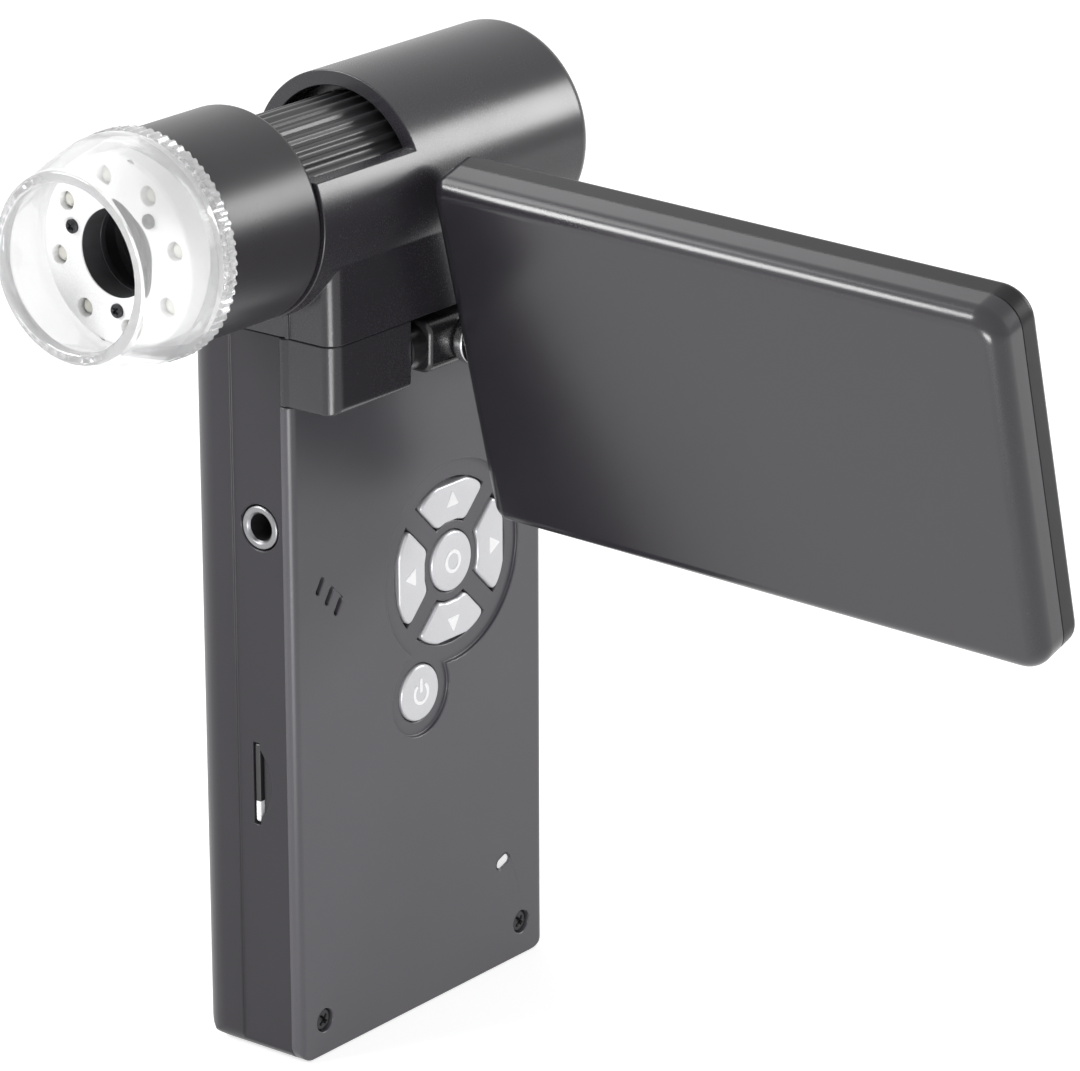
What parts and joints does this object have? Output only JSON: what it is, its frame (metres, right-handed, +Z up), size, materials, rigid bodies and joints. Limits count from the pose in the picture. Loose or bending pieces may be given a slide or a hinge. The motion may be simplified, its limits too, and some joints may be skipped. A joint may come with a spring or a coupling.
{
  "type": "lcd digital microscope",
  "caption": "Hand-held digital microscope: upright handle with keys, cross barrel with a clear nose cap and focus wheel, and a flat screen on a fold and swivel hinge.",
  "frame": {"origin": "centre of the handle's flat bottom face, halfway across its width and depth", "axes": "+Z up along the handle to the barrel, -Y from the handle towards the open screen and the user, +X along the barrel towards its rear end"},
  "size_m": [0.0846, 0.1155, 0.1295],
  "materials": {
    "body_plastic": "charcoal, fine satin grain",
    "cover_plastic": "grey charcoal, fine satin grain",
    "screen_plastic": "charcoal with a soft sheen",
    "bezel_plastic": "near black, satin",
    "key_plastic": "silver grey, satin",
    "black_plastic": "black, satin",
    "white_plastic": "white, matte",
    "frosted_plastic": "frosted",
    "clear_plastic": "clear, polished",
    "window_plastic": "smoked, polished",
    "board_laminate": "green solder mask",
    "battery_can": "brushed, wrapped",
    "brass": "plated",
    "steel": "plated",
    "black_steel": "black zinc",
    "lens_glass": "coated",
    "sensor_glass": "dark, smooth",
    "lamp_resin": "pale yellow resin"
  },
  "bodies": {
    "handle": {"rear_shell": "body_plastic", "front_cover": "cover_plastic", "hinge_block": "body_plastic", "main_board": "board_laminate", "key_board": "board_laminate", "key_switches": "steel", "speaker": "black_plastic", "battery": "battery_can", "battery_contacts": "brass", "charge_light": "frosted_plastic", "av_jack": "steel", "card_socket": "steel", "usb_socket": "steel", "cover_screws": "black_steel", "board_screws": "steel", "hinge_screws": "steel", "barrel_screws": "steel", "barrel_housing": "body_plastic", "front_tube": "body_plastic", "rear_cap": "body_plastic", "sensor_board": "board_laminate", "image_sensor": "sensor_glass", "led_board": "white_plastic", "leds": "lamp_resin", "led_reflector": "white_plastic", "reflector_screws": "black_steel", "fold_pins": "steel", "friction_washers": "black_steel"},
    "battery_door": {"battery_door": "body_plastic"},
    "card": {"memory_card": "black_plastic"},
    "focus": {"focus_wheel": "black_plastic"},
    "lens": {"lens_carriage": "black_plastic", "objective_lens": "lens_glass", "lens_retainer": "black_plastic", "rear_lens": "lens_glass"},
    "cap": {"clear_cap": "clear_plastic"},
    "knuckle": {"hinge_knuckle": "black_plastic"},
    "screen": {"swivel_shaft": "steel", "swivel_clip": "steel", "shaft_plate": "steel", "screen_back": "screen_plastic", "screen_bezel": "bezel_plastic", "screen_window": "window_plastic", "lcd_panel": "sensor_glass", "backlight": "white_plastic", "screen_board": "board_laminate", "screen_screws": "black_steel"},
    "key_up": {"key_up": "key_plastic"},
    "key_down": {"key_down": "key_plastic"},
    "key_left": {"key_left": "key_plastic"},
    "key_right": {"key_right": "key_plastic"},
    "key_ok": {"key_ok": "key_plastic"},
    "key_power": {"key_power": "key_plastic"}
  },
  "joints": [
    {"name": "screen_fold", "type": "hinge", "parent": "handle", "child": "knuckle", "pos_m": [0, -0.0135, 0.0945], "axis": [1, 0, 0], "range_deg": [-1.41, 17]},
    {"name": "screen_swivel", "type": "hinge", "parent": "knuckle", "child": "screen", "pos_m": [0, -0.0135, 0.0945], "axis": [0, -0.9997, -0.0246], "range_deg": [-106.5, 163.5]},
    {"name": "focus_turn", "type": "hinge", "parent": "handle", "child": "focus", "pos_m": [-0.017, -0.0034, 0.11488], "axis": [1, 0, 0], "range_deg": [-150, 150]},
    {"name": "lens_slide", "type": "slide", "parent": "handle", "child": "lens", "axis": [1, 0, 0], "range_m": [-0.00302, 0.00302]},
    {"name": "cap_pull", "type": "slide", "parent": "handle", "child": "cap", "axis": [-1, 0, 0], "range_m": [0, 0.018]},
    {"name": "card_draw", "type": "slide", "parent": "handle", "child": "card", "axis": [-1, 0, 0], "range_m": [0, 0.016]},
    {"name": "battery_door_lift", "type": "slide", "parent": "handle", "child": "battery_door", "axis": [0, 1, 0], "range_m": [0, 0.025]},
    {"name": "key_up_press", "type": "slide", "parent": "handle", "child": "key_up", "axis": [0, 1, 0], "range_m": [0, 0.0004], "stiffness_N_per_m": 400, "springref_m": -0.001},
    {"name": "key_down_press", "type": "slide", "parent": "handle", "child": "key_down", "axis": [0, 1, 0], "range_m": [0, 0.0004], "stiffness_N_per_m": 400, "springref_m": -0.001},
    {"name": "key_left_press", "type": "slide", "parent": "handle", "child": "key_left", "axis": [0, 1, 0], "range_m": [0, 0.0004], "stiffness_N_per_m": 400, "springref_m": -0.001},
    {"name": "key_right_press", "type": "slide", "parent": "handle", "child": "key_right", "axis": [0, 1, 0], "range_m": [0, 0.0004], "stiffness_N_per_m": 400, "springref_m": -0.001},
    {"name": "key_ok_press", "type": "slide", "parent": "handle", "child": "key_ok", "axis": [0, 1, 0], "range_m": [0, 0.0004], "stiffness_N_per_m": 400, "springref_m": -0.001},
    {"name": "key_power_press", "type": "slide", "parent": "handle", "child": "key_power", "axis": [0, 1, 0], "range_m": [0, 0.0004], "stiffness_N_per_m": 400, "springref_m": -0.001}
  ],
  "couplings": [
    {"joint": "lens_slide", "follows": "focus_turn", "m_per_rad": 0.00115}
  ]
}
